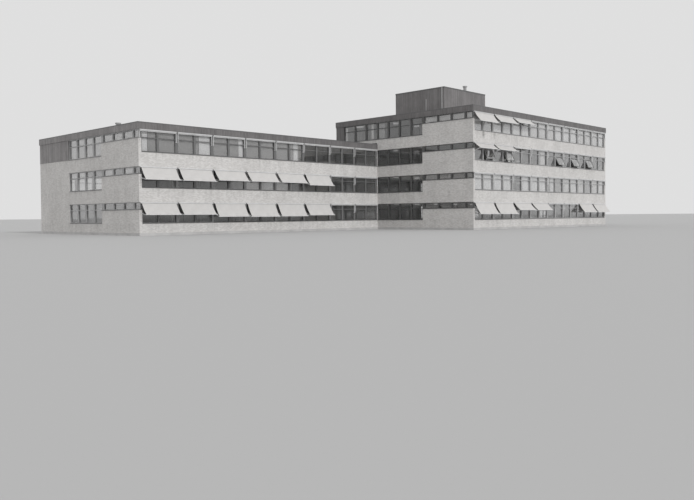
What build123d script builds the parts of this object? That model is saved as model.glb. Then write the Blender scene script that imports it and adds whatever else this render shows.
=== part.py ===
from build123d import *

import os
from dataclasses import dataclass
from math import atan2, cos, hypot, radians, sin

# A school of two wings, of three and four storeys, at half its real size, in millimetres.
# X runs along the fronts to the right, Y from front to back and Z up.
# The origin is the middle of the stretch of side wall that the wings share, on the ground.

# Plan of a wing
bay = 2040.0
bays = 8
windows_per_bay = 2
room_depth = 3540.0
hall_depth = 3540.0
hall_windows = 4
hall_post = 150.0
room_windows = 3
corner_window = 540.0
wall = 150.0

# Heights
plinth = 125.0
storey = 1650.0
left_storeys = 3
right_storeys = 4
sill = 450.0
window_height = 985.0
high_window_height = 345.0
top_soffit = 1485.0
fascia_height = 325.0
fascia_thickness = 30.0
floor_thickness = 130.0
roof_thickness = 250.0
column = 200.0
bays_per_column = 2

# Window frames and glass
frame_recess = 30.0
frame_depth = 50.0
rail = 40.0
post = 110.0
bay_post = 150.0
glass = 10.0

# Top-hung windows of the right wing's front, in degrees open, by storey and window from the left
right_sash_angles = [
    [0, 0, 0, 0, 0, 0, 0, 0, 0, 0, 0, 0, 0, 0, 0, 0],
    [0, 0, 0, 0, 0, 0, 0, 0, 0, 0, 0, 0, 0, 0, 0, 0],
    [0, 26, 0, 26, 0, 0, 0, 0, 0, 26, 0, 26, 0, 26, 0, 0],
    [0, 0, 0, 0, 0, 0, 0, 0, 0, 0, 0, 0, 0, 0, 0, 0],
]
sash_thickness = 25.0
sash_bar = 40.0
sash_clearance = 4.0

# Entrance in place of one of the hall's end windows, numbered from the front from 0
door_window = 1
door_height = 1050.0
door_thickness = 35.0
door_clearance = 3.0
door_stile = 55.0
door_kick_rail = 130.0

# Awnings: a cassette at the window head, two arms hung on the posts, a front bar and a cloth
cassette_height = 60.0
cassette_depth = 90.0
cassette_bevel = 30.0
awning_gap = 82.0
awning_corner_lap = 20.0
awning_wall_gap = 12.0
arm_length = 425.0
arm_width = 18.0
arm_standoff = 10.0
bar = 30.0
bar_gap = 6.0
bracket_height = 45.0
cloth_thickness = 5.0
cloth_inset = 36.0
seat_gap = 0.3
slot_setback = 18.0

# Each awning's arms, in degrees from upright, by storey from the ground and by bay from the left
left_arm_angles = [
    [101, 101, 116, 118, 117, 110, 0, 0],
    [105, 105, 96, 95, 95, 108, 0, 0],
    [0, 0, 0, 0, 0, 0, 0, 0],
]
right_arm_angles = [
    [113, 113, 84, 84, 0, 0, 103, 103],
    [0, 0, 0, 0, 0, 0, 0, 0],
    [67, 66, 20, 0, 0, 0, 0, 0],
    [98, 82, 66, 0, 0, 0, 0, 0],
]

# Plant room on the right wing's roof
plant_from_left = 1680.0
plant_from_front = 3205.0
plant_width = 4330.0
plant_depth = 3770.0
plant_height = 1695.0
plant_wall = 60.0
plant_roof = 60.0
pipe = 60.0
pipe_from_corner = 140.0
short_pipe = 45.0
short_pipe_height = 1080.0
pipe_spacing = 1200.0

# Vents of flat sheets on both roofs, each with a wider cap
vent_sides = 12
vent_width = 200.0
vent_cap = 280.0
vent_cap_height = 60.0
plant_vent_height = 290.0
plant_vent_from_left = 2560.0
plant_vent_from_front = 300.0
left_vent_height = 200.0
left_vent_from_front = 2375.0
left_vent_from_side = 300.0

depth = 2 * room_depth + hall_depth
length = bays * bay
room_window = (room_depth - corner_window - hall_post) / room_windows


@dataclass(frozen=True)
class Wing:
    """One block of the school, by its left face, its front face and its storeys."""

    name: str
    left: float
    front: float
    storeys: int

    @property
    def right(self):
        return self.left + length

    @property
    def back(self):
        return self.front + depth

    @property
    def hall(self):
        return self.front + room_depth

    @property
    def rear_room(self):
        return self.back - room_depth

    @property
    def soffit(self):
        return level(self.storeys - 1) + top_soffit

    @property
    def top(self):
        return self.storeys - 1


def level(n):
    """Height of floor n, with 0 for the ground floor."""
    return plinth + n * storey


def window_foot(n):
    return level(n) + sill


def high_window_foot(n):
    """Sill of the end walls' high windows, level with the transom of the front windows."""
    return window_foot(n) + window_height - high_window_height


def window_head(wing, n):
    """The top storey's windows run up to the roof, the others to a brick band."""
    return wing.soffit if n == wing.top else window_foot(n) + window_height


left_wing = Wing("left_wing", -length, -room_depth / 2, left_storeys)
right_wing = Wing("right_wing", 0.0, room_depth / 2 - depth, right_storeys)
wings = [left_wing, right_wing]


def block(x0, x1, y0, y1, z0, z1):
    return Pos((x0 + x1) / 2, (y0 + y1) / 2, (z0 + z1) / 2) * Box(x1 - x0, y1 - y0, z1 - z0)


def rect(a0, a1, z0, z1):
    """A rectangle by its edges, drawn in an upright wall's own width and height."""
    return Pos((a0 + a1) / 2, (z0 + z1) / 2) * Rectangle(a1 - a0, z1 - z0)


def along_x(sketch, y, thickness):
    """Stands a sketch of X and Z at y and gives it its thickness, towards the back if positive."""
    return extrude(Plane((0, y, 0), x_dir=(1, 0, 0), z_dir=(0, -1, 0)) * sketch, -thickness)


def along_y(sketch, x, thickness):
    """Stands a sketch of Y and Z at x and gives it its thickness, towards the right if positive."""
    return extrude(Plane((x, 0, 0), x_dir=(0, 1, 0), z_dir=(1, 0, 0)) * sketch, thickness)


def plan_shape():
    shape = Sketch()
    for wing in wings:
        shape += Pos((wing.left + wing.right) / 2, (wing.front + wing.back) / 2) * Rectangle(length, depth)
    return shape


def ground_slab():
    return extrude(plan_shape(), plinth)


def floor_slab(wing, n):
    """A concrete floor between the walls' inner faces."""
    return block(
        wing.left + wall,
        wing.right - wall,
        wing.front + wall,
        wing.back - wall,
        level(n) - floor_thickness,
        level(n),
    )


def roof_slab(wing):
    return block(wing.left, wing.right, wing.front, wing.back, wing.soffit, wing.soffit + roof_thickness)


def columns(wing):
    """Concrete columns between the rooms, along both sides of the hall, one storey high each."""
    posts = []
    for n in range(wing.storeys):
        ceiling = wing.soffit if n == wing.top else level(n + 1) - floor_thickness
        for y in (wing.hall, wing.rear_room):
            for k in range(bays_per_column, bays, bays_per_column):
                x = wing.left + k * bay
                half = column / 2
                posts.append(block(x - half, x + half, y - half, y + half, level(n), ceiling))
    return Compound(children=posts)


def brick_bands(wing, face, inward):
    """Brick under each row of windows on a long wall, from end wall to end wall."""
    bands = []
    for n in range(wing.storeys):
        foot = plinth if n == 0 else window_head(wing, n - 1)
        band = rect(wing.left + wall, wing.right - wall, foot, window_foot(n))
        bands.append(along_x(band, face, inward * wall))
    return Compound(children=bands)


def has_corner_window(wing, side):
    """The high windows turn each front corner, but for the left wing's that the other one covers."""
    return wing is right_wing or side == "left"


def end_rows(wing, side):
    """Rows of windows in an end wall, each as its post lines, their widths, its foot and its head.

    A width is what a post takes up of the light beside its line. The front rooms have high
    windows, from the open corner to the hall, and the hall has tall ones. Above the left wing's
    roof, the right wing's rear rooms have tall windows too, up to the boarded part.
    """
    high = [wing.front]
    high += [wing.front + corner_window + k * room_window for k in range(room_windows)]
    high.append(wing.hall)
    hall = [wing.hall + k * hall_depth / hall_windows for k in range(hall_windows + 1)]
    rear = [wing.rear_room + (k + 1) * room_window for k in range(room_windows)]
    over_roof = wing is right_wing and side == "left"
    rows = []
    for n in range(wing.storeys):
        head = window_head(wing, n)
        if has_corner_window(wing, side):
            widths = [frame_depth] + [post / 2] * room_windows + [hall_post]
            rows.append((high, widths, high_window_foot(n), head))
        tall = hall + rear if over_roof and n == wing.top else hall
        widths = [rail] + [post / 2] * (len(tall) - 2) + [rail]
        rows.append((tall, widths, window_foot(n), head))
    return rows


def set_back(wing, lines, distance):
    """A row's lines, with the first one moved in from the open corner."""
    return [lines[0] + distance, *lines[1:]] if lines[0] == wing.front else lines


def boarded_part(wing, side):
    """Stretch of the top storey's end wall that is boarded, from the last window to the back."""
    last_row = end_rows(wing, side)[-1][0]
    return last_row[-1], wing.back


def door_opening(wing):
    """The door's place between two posts of the hall's end windows."""
    line = wing.hall + door_window * hall_depth / hall_windows
    return line + post / 2, line + hall_depth / hall_windows - post / 2


def has_door(wing, side):
    return wing is right_wing and side == "right"


def end_face(wing, side):
    """The wall's outer face and the way in from it."""
    return (wing.left, 1) if side == "left" else (wing.right, -1)


def end_wall(wing, side):
    """Brick end wall with its windows, door and boarded part cut out.

    Where the front windows run on over the wall's end, it is cut back behind them.
    """
    shape = rect(wing.front, wing.back, plinth, wing.soffit)
    for lines, _, foot, head in end_rows(wing, side):
        shape -= rect(lines[0], lines[-1], foot, head)
    start, end = boarded_part(wing, side)
    shape -= rect(start, end, window_foot(wing.top), wing.soffit)
    if has_door(wing, side):
        start, end = door_opening(wing)
        shape -= rect(start, end, plinth, window_foot(0))
    if not has_corner_window(wing, side):
        behind_glass = wing.front + frame_recess + frame_depth + glass
        for n in range(wing.storeys):
            shape -= rect(wing.front, behind_glass, window_foot(n), window_head(wing, n))
    face, inward = end_face(wing, side)
    return along_y(shape, face, inward * wall)


def end_cladding():
    """Boarded panels at the top of the end walls."""
    panels = []
    for wing in wings:
        for side in ("left", "right"):
            start, end = boarded_part(wing, side)
            face, inward = end_face(wing, side)
            panel = rect(start, end, window_foot(wing.top), wing.soffit)
            panels.append(along_y(panel, face, inward * wall))
    return Compound(children=panels)


def frame_shape(lines, widths, foot, head):
    """A row's frame: rails at foot and head, a jamb at each end and a post on each line between."""
    shape = rect(lines[0], lines[-1], foot, head)
    for start, end, before, after in zip(lines, lines[1:], widths, widths[1:]):
        shape -= rect(start + before, end - after, foot + rail, head - rail)
    return shape


def back_lines(wing):
    """Post lines of the back's windows, between the end walls, and what each post takes up."""
    count = bays * windows_per_bay
    lines = [wing.left + k * bay / windows_per_bay for k in range(count + 1)]
    widths = [(bay_post if k % windows_per_bay == 0 else post) / 2 for k in range(count + 1)]
    lines[0] += wall
    lines[-1] -= wall
    widths[0] = widths[-1] = rail
    return lines, widths


def front_lines(wing):
    """The same at the front, where the windows run on over the end of a wall that meets the other wing."""
    lines, widths = back_lines(wing)
    if not has_corner_window(wing, "right"):
        lines[-1] = wing.right
        widths[-1] = wall
    return lines, widths


def light(wing, k):
    """Left and right edges of window k between its posts, in the front."""
    lines, widths = front_lines(wing)
    return lines[k] + widths[k], lines[k + 1] - widths[k + 1]


def front_corners(wing, distance):
    """The stretches of the front windows past the end walls' piers, each as its left and right edge.

    Each runs from the pier's inner face to the given distance from the open corner.
    """
    if has_corner_window(wing, "left"):
        yield wing.left + distance, wing.left + wall
    if has_corner_window(wing, "right"):
        yield wing.right - wall, wing.right - distance


def opened(wing, n):
    """Windows that stand open in storey n of a wing's front."""
    if wing is left_wing:
        return []
    return [k for k, angle in enumerate(right_sash_angles[n]) if angle]


def front_frames(wing):
    """One frame a storey, on to the corner posts, with a transom over each open window."""
    lines, widths = front_lines(wing)
    frames = []
    for n in range(wing.storeys):
        foot, head = high_window_foot(n), window_head(wing, n)
        shape = frame_shape(lines, widths, window_foot(n), head)
        for start, end in front_corners(wing, frame_recess + frame_depth):
            shape += rect(start, end, foot, head) - rect(start, end, foot + rail, head - rail)
        for k in opened(wing, n):
            shape += rect(*light(wing, k), foot, foot + rail)
        frames.append(along_x(shape, wing.front + frame_recess, frame_depth))
    return Compound(children=frames)


def back_frames(wing):
    lines, widths = back_lines(wing)
    frames = []
    for n in range(wing.storeys):
        shape = frame_shape(lines, widths, window_foot(n), window_head(wing, n))
        frames.append(along_x(shape, wing.back - frame_recess, -frame_depth))
    return Compound(children=frames)


def sheets_round(openings, lines, foot, opening_head, head):
    """Outlines of a row's glass: a sheet for each run of shut windows, a short one over each opening."""
    start = lines[0]
    for k in openings:
        if lines[k] > start:
            yield rect(start, lines[k] - seat_gap, foot, head)
        yield rect(lines[k], lines[k + 1] - seat_gap, opening_head, head)
        start = lines[k + 1]
    if start < lines[-1]:
        yield rect(start, lines[-1], foot, head)


def front_glass(wing):
    """Sheets behind the frames of each storey and behind its corner windows, and the open windows' panes."""
    lines = front_lines(wing)[0]
    sheets = []
    for n in range(wing.storeys):
        transom, head = high_window_foot(n) + rail / 2, window_head(wing, n)
        shapes = list(sheets_round(opened(wing, n), lines, window_foot(n), transom, head))
        for start, end in front_corners(wing, frame_recess + frame_depth + glass):
            shapes.append(rect(start + seat_gap, end - seat_gap, high_window_foot(n), head))
        for shape in shapes:
            sheets.append(along_x(shape, wing.front + frame_recess + frame_depth, glass))
    if wing is right_wing:
        edge = sash_bar + seat_gap
        for place, width in sash_places():
            sheets.append(place * Box(width - 2 * edge, glass, sash_height() - 2 * edge))
    return Compound(children=sheets)


def back_glass(wing):
    lines = back_lines(wing)[0]
    sheets = []
    for n in range(wing.storeys):
        shape = rect(lines[0], lines[-1], window_foot(n), window_head(wing, n))
        sheets.append(along_x(shape, wing.back - frame_recess - frame_depth, -glass))
    return Compound(children=sheets)


def end_frames(wing):
    """One frame for each row of windows, the high ones with the post at the open corner."""
    frames = []
    for side in ("left", "right"):
        face, inward = end_face(wing, side)
        for lines, widths, foot, head in end_rows(wing, side):
            shape = frame_shape(set_back(wing, lines, frame_recess), widths, foot, head)
            if has_door(wing, side) and foot == window_foot(0):
                start, end = door_opening(wing)
                shape -= rect(start, end, foot, foot + rail)
                shape += rect(start, end, plinth + door_height, plinth + door_height + rail)
            frames.append(along_y(shape, face + inward * frame_recess, inward * frame_depth))
    return Compound(children=frames)


def end_glass(wing):
    """Sheets behind each row's frame, round the door, whose leaves have panes of their own."""
    sheets = []
    for side in ("left", "right"):
        face, inward = end_face(wing, side)
        for lines, _, foot, head in end_rows(wing, side):
            lines = set_back(wing, lines, frame_recess + frame_depth)
            openings = [door_window] if has_door(wing, side) and foot == window_foot(0) else []
            for shape in sheets_round(openings, lines, foot, plinth + door_height + rail / 2, head):
                sheets.append(along_y(shape, face + inward * (frame_recess + frame_depth), inward * glass))
        if has_door(wing, side):
            middle = face + inward * (frame_recess + (door_thickness - glass) / 2)
            for leaf in door_leaves():
                sheets.append(along_y(door_pane(*leaf, seat_gap), middle, inward * glass))
    return Compound(children=sheets)


def sash_height():
    return window_height - high_window_height - rail - sash_clearance


def sash_places():
    """Place of each open window's middle, tilted, and its width.

    A sash turns about its inner top edge under the transom, low enough for its outer top edge.
    """
    middle = Pos(0, -sash_thickness / 2, -sash_height() / 2)
    for n in range(right_wing.storeys):
        for k in opened(right_wing, n):
            angle = right_sash_angles[n][k]
            start, end = light(right_wing, k)
            hinge = Pos(
                (start + end) / 2,
                right_wing.front + frame_recess + frame_depth,
                high_window_foot(n) - seat_gap - sash_thickness * sin(radians(angle)),
            )
            yield hinge * Rot(-angle, 0, 0) * middle, end - start - 2 * sash_clearance


def open_sashes():
    """Top-hung windows of the right wing's front, swung out at the foot, without their panes."""
    sashes = []
    for place, width in sash_places():
        hole = Box(width - 2 * sash_bar, sash_thickness, sash_height() - 2 * sash_bar)
        sashes.append(place * (Box(width, sash_thickness, sash_height()) - hole))
    return Compound(children=sashes)


def door_leaves():
    """Left edge, right edge, foot and head of each of the pair of door leaves."""
    start, end = door_opening(right_wing)
    middle = (start + end) / 2
    foot = plinth + door_clearance
    head = plinth + door_height - door_clearance
    yield start + seat_gap, middle - door_clearance, foot, head
    yield middle + door_clearance, end - seat_gap, foot, head


def door_pane(a0, a1, foot, head, gap=0.0):
    """Outline of a leaf's pane, smaller by a gap all round."""
    stile = door_stile + gap
    return rect(a0 + stile, a1 - stile, foot + door_kick_rail + gap, head - stile)


def entrance_door():
    """A pair of door leaves, each of stiles and rails round the place of one pane."""
    face, inward = end_face(right_wing, "right")
    outside = face + inward * frame_recess
    leaves = []
    for leaf in door_leaves():
        leaves.append(along_y(rect(*leaf) - door_pane(*leaf), outside, inward * door_thickness))
    return Compound(children=leaves)


def fascia(wing):
    """A board along each side of the roof's edge, without the stretch that meets the other wing's wall."""
    foot, head = wing.soffit, wing.soffit + fascia_height
    boards = []
    for y in (wing.front - fascia_thickness, wing.back):
        left, right = wing.left - fascia_thickness, wing.right + fascia_thickness
        boards.append(block(left, right, y, y + fascia_thickness, foot, head))
    for x in (wing.left - fascia_thickness, wing.right):
        front, back = wing.front + seat_gap, wing.back - seat_gap
        boards.append(block(x, x + fascia_thickness, front, back, foot, head))
    if wing is left_wing:
        over = block(right_wing.left, right_wing.right, right_wing.front, right_wing.back, foot, head)
        boards = [board - over for board in boards]
    return Compound(children=boards)


def cassette_foot(wing, n):
    return window_head(wing, n) - cassette_height


def cassette_front(wing):
    return wing.front + frame_recess - cassette_depth


def awning_places(wing, angles):
    """Storey, left end, right end and arm angle of each awning.

    The ends are the outer faces of its arms. The arms stand before the bay posts, at an open
    corner before the end wall's pier, and at the other wing's wall just beside it.
    """
    from_corner = frame_recess + frame_depth - awning_corner_lap
    for n, row in enumerate(angles):
        for k, angle in enumerate(row):
            start = wing.left + k * bay + awning_gap / 2
            end = wing.left + (k + 1) * bay - awning_gap / 2
            if k == 0:
                start = wing.left + from_corner
            if k == bays - 1 and has_corner_window(wing, "right"):
                end = wing.right - from_corner
            elif k == bays - 1:
                end = wing.right - awning_wall_gap
            yield n, start, end, angle


def awning_cassettes(wing, angles):
    """Boxes under the window heads that hold the rolled cloths, bevelled along their front."""
    y = cassette_front(wing)
    boxes = []
    for n, start, end, _ in awning_places(wing, angles):
        foot, head = cassette_foot(wing, n), window_head(wing, n)
        outline = Polyline(
            (y, foot),
            (y + cassette_depth, foot),
            (y + cassette_depth, head),
            (y + cassette_bevel, head),
            (y, head - cassette_bevel),
            close=True,
        )
        boxes.append(along_y(make_face(outline), start, end - start))
    return Compound(children=boxes)


def arm_pivot(wing, n):
    """Y and Z of the arms' pivots, so that a folded awning's bar rests under its cassette."""
    y = wing.front - arm_standoff - arm_width / 2
    z = cassette_foot(wing, n) - bar_gap - bar / 2 - arm_length
    return y, z


def bar_place(wing, n, angle):
    y, z = arm_pivot(wing, n)
    return y - arm_length * sin(radians(angle)), z + arm_length * cos(radians(angle))


def bracket_back(wing, x):
    """A bracket meets the brick of an open corner's pier, or the set-back window frame."""
    on_left_pier = has_corner_window(wing, "left") and x - wing.left < wall
    on_right_pier = has_corner_window(wing, "right") and wing.right - x < wall
    return wing.front if on_left_pier or on_right_pier else wing.front + frame_recess


def awning_arms(wing, angles):
    """Both arms and the front bar of each awning in one frame, with a bracket at each pivot."""
    frames = []
    for n, start, end, angle in awning_places(wing, angles):
        y, z = arm_pivot(wing, n)
        turn = radians(angle)
        plane = Plane((start, y, z), x_dir=(1, 0, 0), z_dir=(0, -cos(turn), -sin(turn)))
        outline = rect(0, end - start, -arm_width / 2, arm_length + bar / 2)
        inside = rect(arm_width, end - start - arm_width, -arm_width / 2, arm_length - bar / 2)
        frame = extrude(plane * (outline - inside), arm_width / 2, both=True)
        for x in (start, end - arm_width):
            back = bracket_back(wing, x)
            frame += block(x, x + arm_width, y, back, z - bracket_height / 2, z + bracket_height / 2)
        frames.append(frame)
    return Compound(children=frames)


def cloth_end_gaps(run, drop, angle):
    """How far a straight cloth stops short of its slot and of the bar's middle, to touch neither."""
    slope = atan2(run, drop)
    half = cloth_thickness / 2
    at_slot = (seat_gap + half * sin(slope)) / cos(slope)
    # The bar turns with the arms: its faces lie across them and along them.
    across = abs(cos(slope + radians(angle)))
    along = abs(sin(slope + radians(angle)))
    at_bar = min(
        (bar / 2 + seat_gap + half * along) / across,
        (arm_width / 2 + seat_gap + half * across) / along,
    )
    return at_slot, at_bar


def awning_cloths(wing, angles):
    """The cloth of each open awning, straight from its cassette's slot to the front bar."""
    cloths = []
    for n, start, end, angle in awning_places(wing, angles):
        if angle == 0:
            continue
        slot_y = cassette_front(wing) + slot_setback
        slot_z = cassette_foot(wing, n)
        bar_y, bar_z = bar_place(wing, n, angle)
        run, drop = slot_y - bar_y, slot_z - bar_z
        at_slot, at_bar = cloth_end_gaps(run, drop, angle)
        whole = hypot(run, drop)
        way_y, way_z = -run / whole, -drop / whole
        middle = (at_slot + whole - at_bar) / 2
        place = Plane(
            ((start + end) / 2, slot_y + way_y * middle, slot_z + way_z * middle),
            x_dir=(1, 0, 0),
            z_dir=(0, way_z, -way_y),
        )
        width = end - start - 2 * cloth_inset
        cloths.append(place * Box(width, whole - at_slot - at_bar, cloth_thickness))
    return Compound(children=cloths)


def plant_corner():
    """Left, front and foot of the plant room."""
    return (
        right_wing.left + plant_from_left,
        right_wing.front + plant_from_front,
        right_wing.soffit + roof_thickness,
    )


def plant_walls():
    x, y, z = plant_corner()
    ring = Rectangle(plant_width, plant_depth)
    ring -= Rectangle(plant_width - 2 * plant_wall, plant_depth - 2 * plant_wall)
    middle = Pos(x + plant_width / 2, y + plant_depth / 2, z)
    return extrude(middle * ring, plant_height - plant_roof)


def plant_roof_slab():
    x, y, z = plant_corner()
    return block(x, x + plant_width, y, y + plant_depth, z + plant_height - plant_roof, z + plant_height)


def plant_pipes():
    """Two pipes down the plant room's left wall, the thin one from part of the way up."""
    x, y, z = plant_corner()
    pipes = []
    for width, height, distance in (
        (pipe, plant_height, pipe_from_corner),
        (short_pipe, short_pipe_height, pipe_from_corner + pipe_spacing),
    ):
        place = Pos(x - width / 2 - seat_gap, y + distance, z + height / 2)
        pipes.append(place * Cylinder(width / 2, height))
    return Compound(children=pipes)


def vent(height):
    """A nearly round vent, folded from flat sheets, with a wider cap."""
    shaft = extrude(RegularPolygon(vent_width / 2, vent_sides), height)
    cap = extrude(RegularPolygon(vent_cap / 2, vent_sides), vent_cap_height)
    return shaft + Pos(0, 0, height) * cap


def roof_vents():
    x, y, z = plant_corner()
    on_plant = Pos(x + plant_vent_from_left, y + plant_vent_from_front, z + plant_height)
    on_left_wing = Pos(
        left_wing.left + left_vent_from_side,
        left_wing.front + left_vent_from_front,
        left_wing.soffit + roof_thickness,
    )
    return Compound(children=[on_plant * vent(plant_vent_height), on_left_wing * vent(left_vent_height)])


def build():
    nodes = {
        "ground_slab": ground_slab(),
        "left_wing_first_floor": floor_slab(left_wing, 1),
        "left_wing_second_floor": floor_slab(left_wing, 2),
        "right_wing_first_floor": floor_slab(right_wing, 1),
        "right_wing_second_floor": floor_slab(right_wing, 2),
        "right_wing_third_floor": floor_slab(right_wing, 3),
        "end_cladding": end_cladding(),
        "open_windows": open_sashes(),
        "entrance_door": entrance_door(),
        "plant_room_walls": plant_walls(),
        "plant_room_roof": plant_roof_slab(),
        "plant_room_pipes": plant_pipes(),
        "roof_vents": roof_vents(),
    }
    for wing, angles in ((left_wing, left_arm_angles), (right_wing, right_arm_angles)):
        nodes[wing.name + "_roof"] = roof_slab(wing)
        nodes[wing.name + "_fascia"] = fascia(wing)
        nodes[wing.name + "_columns"] = columns(wing)
        nodes[wing.name + "_front_brickwork"] = brick_bands(wing, wing.front, 1)
        nodes[wing.name + "_back_brickwork"] = brick_bands(wing, wing.back, -1)
        nodes[wing.name + "_left_end_wall"] = end_wall(wing, "left")
        nodes[wing.name + "_right_end_wall"] = end_wall(wing, "right")
        nodes[wing.name + "_front_window_frames"] = front_frames(wing)
        nodes[wing.name + "_back_window_frames"] = back_frames(wing)
        nodes[wing.name + "_end_window_frames"] = end_frames(wing)
        nodes[wing.name + "_front_glass"] = front_glass(wing)
        nodes[wing.name + "_back_glass"] = back_glass(wing)
        nodes[wing.name + "_end_glass"] = end_glass(wing)
        nodes[wing.name + "_awning_cassettes"] = awning_cassettes(wing, angles)
        nodes[wing.name + "_awning_arms"] = awning_arms(wing, angles)
        nodes[wing.name + "_awning_cloths"] = awning_cloths(wing, angles)
    return nodes


os.makedirs("parts", exist_ok=True)
for name, shape in build().items():
    export_step(shape, f"parts/{name}.step")
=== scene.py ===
"""Finishes, sashes, sills, boards, curtains and awning cloths of a school of two wings, at half size."""

from math import atan2, cos, hypot, pi, radians, sin

import bmesh
import bpy
from mathutils import Matrix, Vector


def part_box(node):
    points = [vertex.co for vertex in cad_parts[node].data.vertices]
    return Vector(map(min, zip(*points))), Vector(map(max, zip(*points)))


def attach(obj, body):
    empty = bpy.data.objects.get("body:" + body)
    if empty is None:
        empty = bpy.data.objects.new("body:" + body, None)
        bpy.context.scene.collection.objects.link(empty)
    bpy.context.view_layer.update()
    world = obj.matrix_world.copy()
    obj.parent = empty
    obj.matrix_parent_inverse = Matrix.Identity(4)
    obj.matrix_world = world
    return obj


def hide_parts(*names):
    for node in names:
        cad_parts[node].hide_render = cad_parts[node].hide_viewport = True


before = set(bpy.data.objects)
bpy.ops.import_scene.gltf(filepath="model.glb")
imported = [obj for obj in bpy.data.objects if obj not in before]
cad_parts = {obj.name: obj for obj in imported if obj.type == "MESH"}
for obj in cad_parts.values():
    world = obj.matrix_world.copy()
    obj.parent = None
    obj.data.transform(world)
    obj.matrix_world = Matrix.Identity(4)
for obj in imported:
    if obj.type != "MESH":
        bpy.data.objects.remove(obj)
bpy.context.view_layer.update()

# Bays and storeys, in metres
BAYS = 8
WINDOWS_PER_BAY = 2
HALL_WINDOWS = 4
ROOM_WINDOWS = 3
CORNER_WINDOW = 0.54
HALL_POST = 0.15
WALL = 0.15
PLINTH = 0.125
STOREY = 1.65
FLOOR = 0.13
SILL = 0.45
WINDOW_HEIGHT = 0.985
HIGH_WINDOW_HEIGHT = 0.345

# Window frames
FRAME_RECESS = 0.03
FRAME_DEPTH = 0.05
RAIL = 0.04
POST = 0.11
BAY_POST = 0.15
OPEN_WINDOWS = [(2, 1), (2, 3), (2, 9), (2, 11), (2, 13)]

# Sashes inside the frames
SASH_FACE = 0.026
SASH_THICKNESS = 0.024
SASH_SETBACK = 0.01

# Sheet metal sills
SILL_RISE = 0.014
SILL_OVERHANG = 0.014
SILL_LIP = 0.014
SILL_METAL = 0.003

# Boarding
BOARD = 0.05
BOARD_GAP = 0.003
BOARD_RELIEF = 0.006
BOARD_STANDOFF = 0.001

# Edge trim and felt upstands of the roofs, and their rainwater outlets, by shares of the roof's length
TRIM_WIDTH = 0.05
TRIM_HEIGHT = 0.012
TRIM_DROP = 0.035
TRIM_METAL = 0.004
UPSTAND = 0.15
OUTLET = 0.09
OUTLET_TOP = 0.055
OUTLET_HEIGHT = 0.05
OUTLETS_ALONG = (0.25, 0.75)

# Rows of lamps under the right wing's ceilings, as storeys, number of bays, distances from the bay line, the
# back and the ceiling, and a lamp's length
LAMP_WIDTH = 0.14
LAMP_HEIGHT = 0.09
LAMP_ROUNDING = 0.03
LAMP_ROWS = [
    ((0, 1, 2), BAYS, 0.9, 4.3, 0.04, 0.3),
    ((3,), BAYS, 0.9, 4.3, 0, 0.3),
    ((3,), 1, 0.5, 1.53, 0, 0.7),
]

# Curtains, whose pleats lose a share of their depth on the way up to the rail
PLEAT = 0.068
PLEAT_DEPTH = 0.011
PLEAT_TAPER = 0.4
PLEAT_STEPS = 6
CURTAIN_ROWS = 3
CURTAIN_SETBACK = 0.125
CURTAIN_GAP = 0.012
CURTAIN_RAIL = 0.012
CURTAIN_THICKNESS = 0.0015

# Awning cloths, and the metal ends of cassettes and arms
CLOTH_INSET = 0.02
CLOTH_SAG = 0.035
CLOTH_RIPPLE = 0.004
CLOTH_RIPPLES = 5
CLOTH_THICKNESS = 0.002
CLOTH_COLUMNS = 28
CLOTH_ROWS = 12
CAP = 0.003
CAP_RIM = 0.002
PIVOT = 0.014
PIVOT_DEPTH = 0.006
ARM_LENGTH = 0.425
ARM_WIDTH = 0.018
BAR = 0.03
BAR_GAP = 0.006
ARM_STANDOFF = 0.01

# Clips of the plant room's pipes, and the door's pull handles
CLIP = 0.012
CLIP_RIM = 0.004
CLIPS = 3
HANDLE = 0.012
HANDLE_LENGTH = 0.3
HANDLE_STANDOFF = 0.02
HANDLE_HEIGHT = 0.52
HANDLE_FROM_EDGE = 0.028
PEG = 0.004
PEG_FROM_MIDDLE = 0.12

# Facets of the round pieces
ROD_FACETS = 14
RAIL_FACETS = 8
CLIP_FACETS = 16
OUTLET_FACETS = 20

# Dirt runs under two posts of the right wing's top windows, as places along the front and strengths
DIRT_RUNS = [(1.0, 0.5), (2.1, 0.25)]
DIRT_WIDTH = 0.16
DIRT_LENGTH = 0.45

# Tone of the ceilings, the share of it in their stains, and how much painted light lightens the left wing's
# left-facing boards
CEILING_TONE = 0.78
CEILING_STAINS = 0.94
LEFT_END_PAINTED_LIGHT = 1.65

# Share of the light that panes mirror when seen straight on, and what the flattest view adds
PANE_MIRROR = 0.065
PANE_MIRROR_RISE = 0.85

# Pitch of the threads of all cloths, and width of a seam's line
WEAVE = 0.0016
SEAM_LINE = 0.006

# Light and floor
FLOOR_REACH = 900
FLOOR_TONE = 0.5
SKY_LIGHT = 0.70
SKY_TONE = 0.74
SUN_STRENGTH = 1.35
SUN_HEIGHT = radians(34)
SUN_TO_RIGHT = radians(-4)
SUN_SIZE = radians(8)

# The photograph's viewpoint, turns and lens
CAMERA_PLACE = (-33.5705, -31.8605, 0.841)
CAMERA_YAW = radians(45.711)
CAMERA_PITCH = radians(1.266)
CAMERA_ROLL = radians(-0.497)
CAMERA_SENSOR = 36
CAMERA_LENS = 37.80
CAMERA_SHIFT = -0.0259
CAMERA_NEAREST = 0.5
CAMERA_FARTHEST = 3000

X_AXIS = Vector((1, 0, 0))
Y_AXIS = Vector((0, 1, 0))
Z_AXIS = Vector((0, 0, 1))
LONG_SIDES = ("front", "back")
END_SIDES = ("left", "right")
SIDES = LONG_SIDES + END_SIDES


def pairs(first, last):
    """Stretches of two windows each, from one post line to another."""
    return [(k, k + 2) for k in range(first, last, 2)]


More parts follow.
